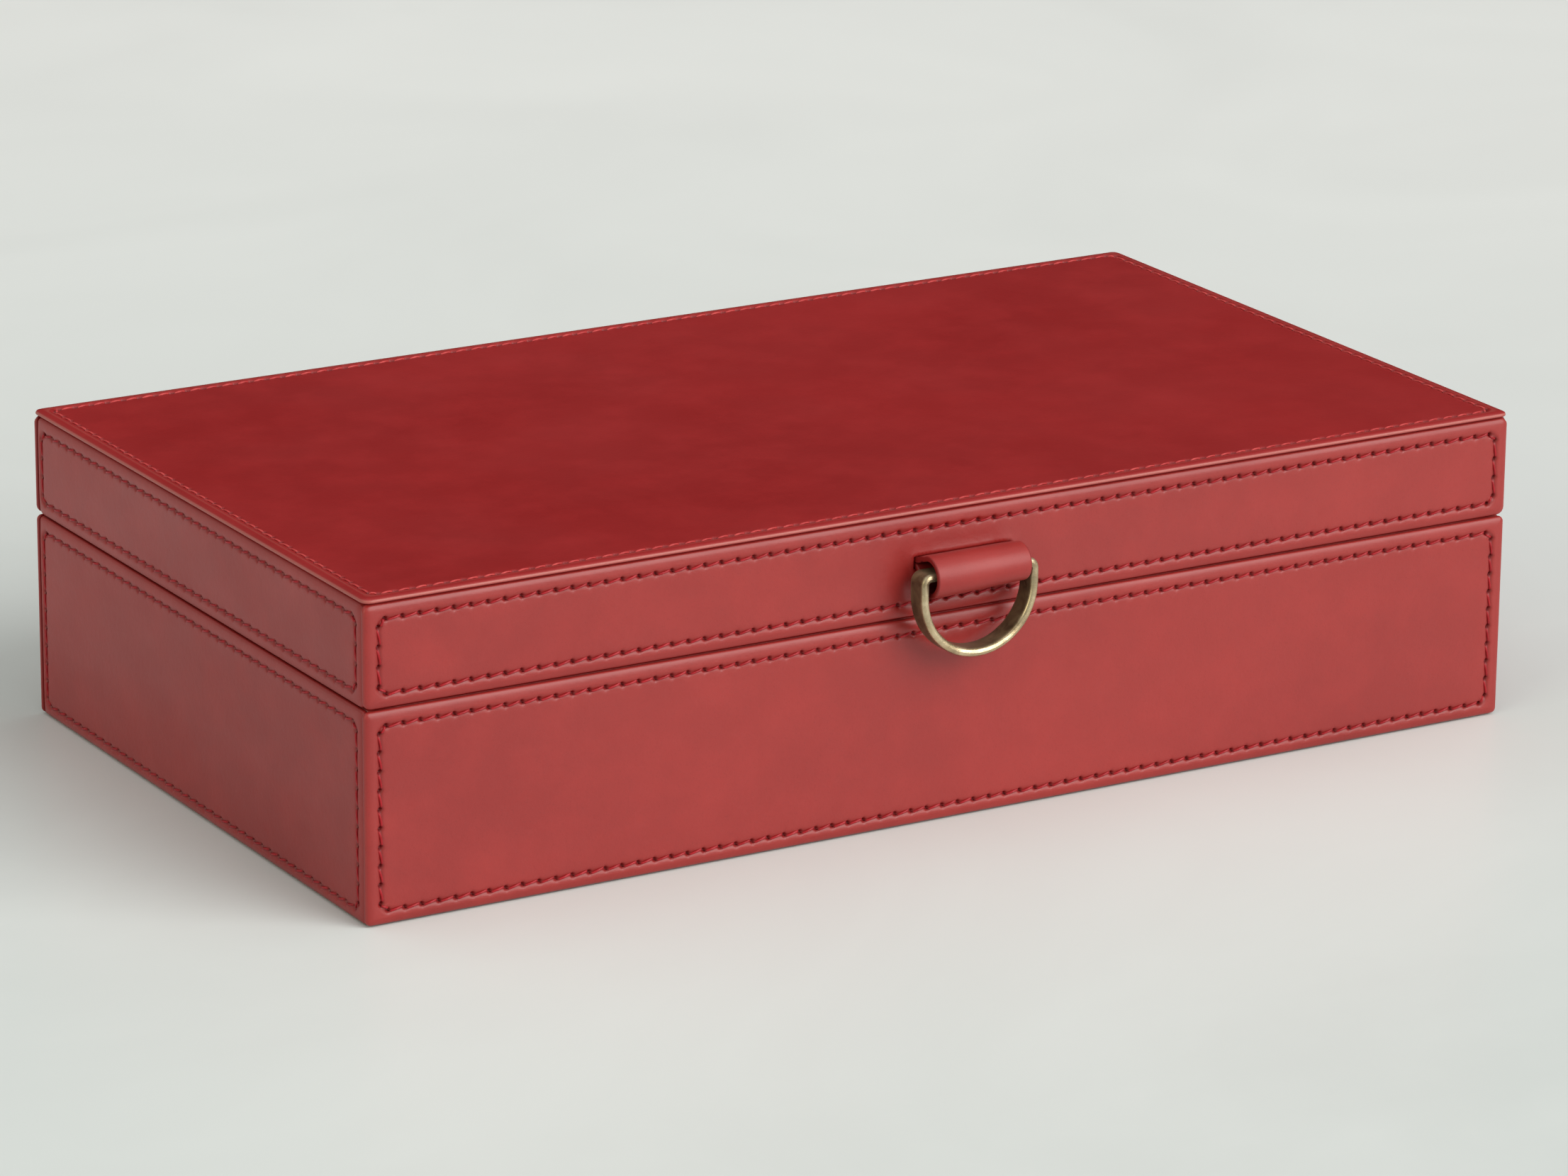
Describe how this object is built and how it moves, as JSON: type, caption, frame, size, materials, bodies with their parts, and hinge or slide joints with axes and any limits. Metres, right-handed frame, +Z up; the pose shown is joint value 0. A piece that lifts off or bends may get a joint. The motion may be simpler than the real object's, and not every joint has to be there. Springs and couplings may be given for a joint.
{
  "type": "jewellery case",
  "caption": "Rectangular leather-panelled jewellery case with a stitched hinged lid, a hanging D-ring pull, a lid mirror and a sliding tray with ring rolls over lined compartments.",
  "frame": {"origin": "middle of the case's footprint, on the face it stands on", "axes": "+X along the width to the viewer's right, -Y towards the front with the D-ring, +Z up"},
  "size_m": [0.305, 0.1858, 0.0758],
  "materials": {
    "leather": "smooth red leather with a soft sheen",
    "top_leather": "smooth red leather with a soft sheen",
    "board": "pressed grey-brown fibre board",
    "suede": "soft napped faux suede",
    "roll_velvet": "soft napped faux suede",
    "felt": "thick pressed felt",
    "brass_hardware": "satin",
    "antique_brass": "antiqued, burnished edges",
    "mirror": "silvered glass"
  },
  "bodies": {
    "base": {"base_front_board": "board", "base_back_board": "board", "base_left_board": "board", "base_right_board": "board", "base_bottom_board": "board", "base_front_leather": "leather", "base_back_leather": "leather", "base_left_leather": "leather", "base_right_leather": "leather", "underside_felt": "felt", "base_rim_trim": "leather", "base_lining_front": "suede", "base_lining_back": "suede", "base_lining_left": "suede", "base_lining_right": "suede", "base_floor_pad": "suede", "tray_rails": "suede", "divider_centre": "suede", "divider_left": "suede", "divider_right_long": "suede", "divider_right_short": "suede", "left_hinge_base_leaf": "brass_hardware", "right_hinge_base_leaf": "brass_hardware", "hinge_pins": "brass_hardware", "base_hinge_screws": "brass_hardware"},
    "lid": {"lid_top_board": "board", "lid_front_board": "board", "lid_back_board": "board", "lid_left_board": "board", "lid_right_board": "board", "lid_top_leather": "top_leather", "lid_front_leather": "leather", "lid_back_leather": "leather", "lid_left_leather": "leather", "lid_right_leather": "leather", "lid_rim_trim": "leather", "lid_lining_front": "suede", "lid_lining_back": "suede", "lid_lining_left": "suede", "lid_lining_right": "suede", "mirror_glass": "mirror", "mirror_frame": "suede", "left_hinge_lid_leaf": "brass_hardware", "right_hinge_lid_leaf": "brass_hardware", "lid_hinge_screws": "brass_hardware", "pull_strap": "leather", "strap_tacks": "brass_hardware"},
    "ring": {"d_ring": "antique_brass"},
    "tray": {"tray_bottom": "suede", "tray_front_wall": "suede", "tray_back_wall": "suede", "tray_left_wall": "suede", "tray_right_wall": "suede", "tray_floor_pad": "suede", "tray_long_divider": "suede", "tray_short_dividers": "suede", "ring_rolls": "roll_velvet"}
  },
  "joints": [
    {"name": "lid_hinge", "type": "hinge", "parent": "base", "child": "lid", "pos_m": [0, 0.0879, 0.05], "axis": [-1, 0, 0], "range_deg": [0, 95]},
    {"name": "d_ring_swing", "type": "hinge", "parent": "lid", "child": "ring", "pos_m": [0, -0.09085, 0.0615], "axis": [-1, 0, 0], "range_deg": [0, 170]},
    {"name": "tray_slide", "type": "slide", "parent": "base", "child": "tray", "axis": [1, 0, 0], "range_m": [0, 0.146]}
  ]
}
